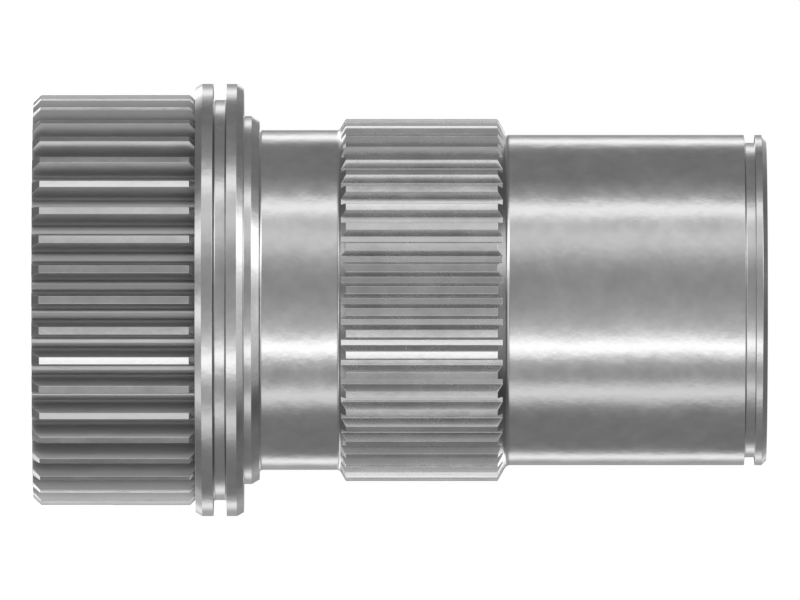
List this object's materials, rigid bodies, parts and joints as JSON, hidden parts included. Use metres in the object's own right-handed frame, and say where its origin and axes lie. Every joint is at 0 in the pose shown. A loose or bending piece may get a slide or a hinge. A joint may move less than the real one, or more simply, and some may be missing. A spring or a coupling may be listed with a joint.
{
  "type": "sun gear",
  "caption": "One-piece steel sun gear sleeve with a toothed end, a pair of flanges, a splined middle and two ground journals round a through bore.",
  "frame": {"origin": "on the axis, in the plane of the gear's end face, which the sleeve stands on", "axes": "+Z along the axis from the gear end to the retaining-ring end; one gear tooth is centred on -Y"},
  "size_m": [0.1374, 0.1374, 0.2328],
  "materials": {
    "machined_steel": "fine turned and ground steel, satin, with faint cloudy patches and polished tooth edges"
  },
  "bodies": {
    "root": {"sun_gear": "machined_steel"}
  },
  "joints": []
}
